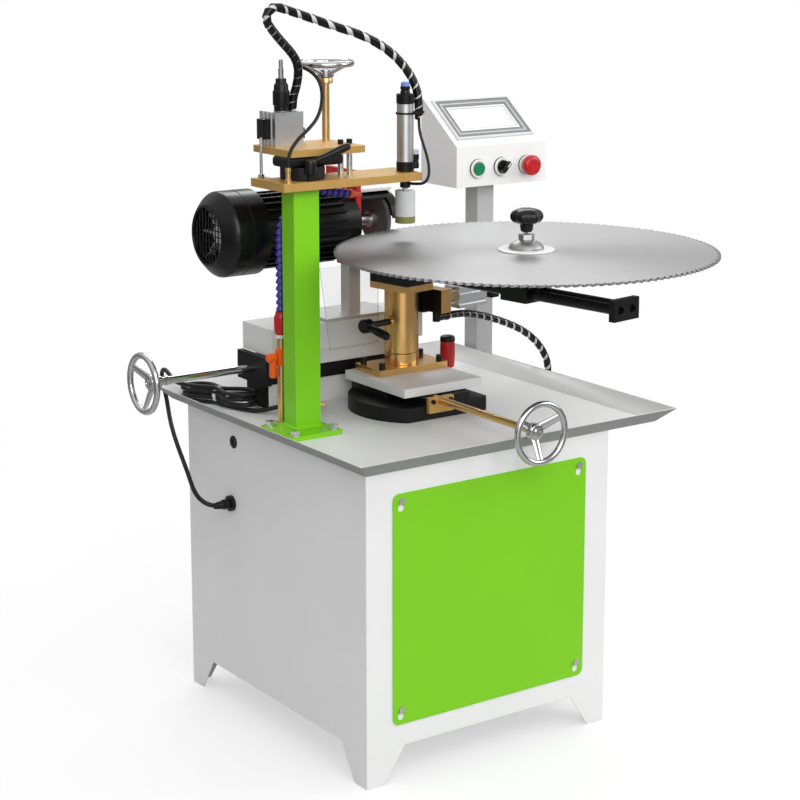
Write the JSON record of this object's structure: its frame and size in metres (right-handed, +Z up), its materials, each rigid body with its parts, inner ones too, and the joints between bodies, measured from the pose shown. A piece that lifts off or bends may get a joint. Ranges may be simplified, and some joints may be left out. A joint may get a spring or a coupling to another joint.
{
  "type": "circular saw blade sharpener",
  "caption": "Floor-standing automatic sharpener: cabinet with chip tray, motor grinding head on slides, swinging arm holding a circular saw blade, air cylinders and a touch console.",
  "frame": {"origin": "on the floor, under the middle of the machine's box without its hoses and power cord", "axes": "+Z up, +X to the operator's right, +Y from the operator to the back"},
  "size_m": [0.9304, 0.9363, 1.2566],
  "materials": {
    "green_paint": "glossy lime green paint",
    "white_paint": "pale grey-white powder coat",
    "silver": "machined and ground",
    "gold": "yellow zinc plating",
    "zinc": "bright plated",
    "dark_steel": "blackened",
    "blade_steel": "ground with fine turning marks",
    "aluminium": "satin",
    "cast_black": "black paint",
    "motor_black": "glossy black paint",
    "red_paint": "red paint",
    "red_plastic": "moulded",
    "black_plastic": "moulded",
    "brass": "turned",
    "blue_plastic": "moulded",
    "orange_plastic": "moulded",
    "screen": "pale grey frame round a grey display",
    "green_button": "moulded",
    "grit": "bonded grit",
    "clear_plastic": "clear acrylic sheet",
    "black_rubber": "cord and hose jacket"
  },
  "bodies": {
    "stand": {"cabinet_ends": "white_paint", "cabinet_sides": "white_paint", "front_panel": "green_paint", "tray_floor": "white_paint", "tray_rim": "white_paint", "column": "green_paint", "arm_plate": "gold", "swivel_base": "cast_black", "upper_plate": "gold", "stroke_cylinder": "aluminium", "hold_cylinder": "zinc", "rear_way": "cast_black", "front_base": "cast_black", "front_bearing": "gold", "touch_screen": "screen", "console_case": "white_paint", "console_post": "white_paint", "coolant_pipe": "zinc", "coolant_hose": "blue_plastic", "stand_screws": "zinc", "wrap_hose": "black_rubber", "thin_hose": "black_rubber", "drop_hose": "black_rubber", "feed_hose": "black_rubber", "power_cord": "black_rubber", "power_hank": "black_rubber", "power_plug": "black_rubber"},
    "rear_slide": {"rear_carriage": "white_paint", "head_post": "silver", "splash_sheet": "clear_plastic"},
    "left_wheel": {"left_handwheel": "zinc"},
    "head": {"mount_plate": "red_paint", "wheel_guard": "motor_black", "motor_body": "motor_black", "fan_cover": "motor_black"},
    "depth_wheel": {"top_handwheel": "zinc"},
    "rotor": {"motor_rotor": "silver", "grinding_wheel": "grit"},
    "front_slide": {"slide_rails": "cast_black", "slide_plate": "silver", "post_foot": "gold"},
    "front_wheel": {"front_handwheel": "zinc"},
    "arm": {"post_sleeve": "gold", "blade_arm": "dark_steel", "feed_block": "gold", "feed_cylinder": "aluminium"},
    "arm_clamp": {"clamp_lever": "black_plastic"},
    "arbor": {"arbor_slider": "dark_steel"},
    "blade_spindle": {"blade_arbor": "silver", "blade": "blade_steel"},
    "knob": {"blade_knob": "black_plastic"},
    "pawl": {"feed_pawl": "dark_steel"},
    "pad": {"hold_pad": "zinc"},
    "stroke": {"stroke_rod": "zinc"},
    "swivel_lever": {"top_lever": "black_plastic"},
    "slide_lock": {"lock_lever": "red_plastic"},
    "tap": {"coolant_tap": "orange_plastic"},
    "start": {"start_button": "green_button"},
    "mode": {"selector": "black_plastic"},
    "stop": {"stop_button": "red_plastic"}
  },
  "joints": [
    {"name": "rear_feed", "type": "slide", "parent": "stand", "child": "rear_slide", "axis": [1, 0, 0], "range_m": [-0.015, 0.015]},
    {"name": "left_wheel_turn", "type": "hinge", "parent": "stand", "child": "left_wheel", "pos_m": [-0.43575, 0.27964, 0.604], "axis": [1, 0, 0], "range_deg": [-1100, 1100]},
    {"name": "head_lift", "type": "slide", "parent": "rear_slide", "child": "head", "axis": [0, 0, 1], "range_m": [-0.008, 0.01]},
    {"name": "depth_wheel_turn", "type": "hinge", "parent": "stand", "child": "depth_wheel", "pos_m": [-0.14775, 0.17564, 1.125], "axis": [0, 0, 1], "range_deg": [-1500, 1900]},
    {"name": "grind_spin", "type": "hinge", "parent": "head", "child": "rotor", "pos_m": [-0.00175, 0.24263, 0.858], "axis": [1, 0, 0], "continuous": true},
    {"name": "front_feed", "type": "slide", "parent": "stand", "child": "front_slide", "axis": [0, 1, 0], "range_m": [-0.078, 0.002]},
    {"name": "front_wheel_turn", "type": "hinge", "parent": "stand", "child": "front_wheel", "pos_m": [-0.01675, -0.24036, 0.566], "axis": [0, 1, 0], "range_deg": [-5700, 180]},
    {"name": "arm_swing", "type": "hinge", "parent": "front_slide", "child": "arm", "pos_m": [0.01025, 0.17264, 0.68], "axis": [0, 0, 1], "range_deg": [-5, 10]},
    {"name": "arm_clamp_turn", "type": "hinge", "parent": "arm", "child": "arm_clamp", "pos_m": [0.01025, 0.17264, 0.681], "axis": [0.9877, 0.1564, 0], "range_deg": [-60, 20]},
    {"name": "arbor_slide", "type": "slide", "parent": "arm", "child": "arbor", "axis": [0.1564, -0.9877, 0], "range_m": [-0.002, 0.15]},
    {"name": "blade_spin", "type": "hinge", "parent": "arbor", "child": "blade_spindle", "pos_m": [0.05765, -0.12663, 0.842], "axis": [0, 0, 1], "continuous": true},
    {"name": "knob_turn", "type": "hinge", "parent": "blade_spindle", "child": "knob", "pos_m": [0.05765, -0.12663, 0.9], "axis": [0, 0, 1], "continuous": true},
    {"name": "pawl_slide", "type": "slide", "parent": "arm", "child": "pawl", "axis": [0.9877, 0.1564, 0], "range_m": [-0.012, 0.015]},
    {"name": "pad_press", "type": "slide", "parent": "stand", "child": "pad", "axis": [0, 0, 1], "range_m": [-0.029, 0]},
    {"name": "stroke_slide", "type": "slide", "parent": "stand", "child": "stroke", "axis": [0, 0, 1], "range_m": [0, 0.02]},
    {"name": "swivel_lever_turn", "type": "hinge", "parent": "stand", "child": "swivel_lever", "pos_m": [-0.24975, 0.06663, 0.98], "axis": [0, 0, 1], "range_deg": [-70, 0]},
    {"name": "lock_turn", "type": "hinge", "parent": "stand", "child": "slide_lock", "pos_m": [0.11625, 0.17564, 0.558], "axis": [0, 1, 0], "range_deg": [-15, 25]},
    {"name": "tap_turn", "type": "hinge", "parent": "stand", "child": "tap", "pos_m": [-0.27675, 0.14164, 0.653], "axis": [1, 0, 0], "range_deg": [0, 90]},
    {"name": "start_press", "type": "slide", "parent": "stand", "child": "start", "axis": [0, 1, 0], "range_m": [0, 0.0035], "stiffness_N_per_m": 600},
    {"name": "mode_turn", "type": "hinge", "parent": "stand", "child": "mode", "pos_m": [0.35425, 0.30963, 0.919], "axis": [0, 1, 0], "range_deg": [-90, 0]},
    {"name": "stop_press", "type": "slide", "parent": "stand", "child": "stop", "axis": [0, 1, 0], "range_m": [0, 0.005], "stiffness_N_per_m": 800}
  ],
  "couplings": [
    {"joint": "left_wheel_turn", "follows": "rear_feed", "rad_per_m": 1256.6},
    {"joint": "front_wheel_turn", "follows": "front_feed", "rad_per_m": 1256.6},
    {"joint": "depth_wheel_turn", "follows": "head_lift", "rad_per_m": 3141.6}
  ]
}
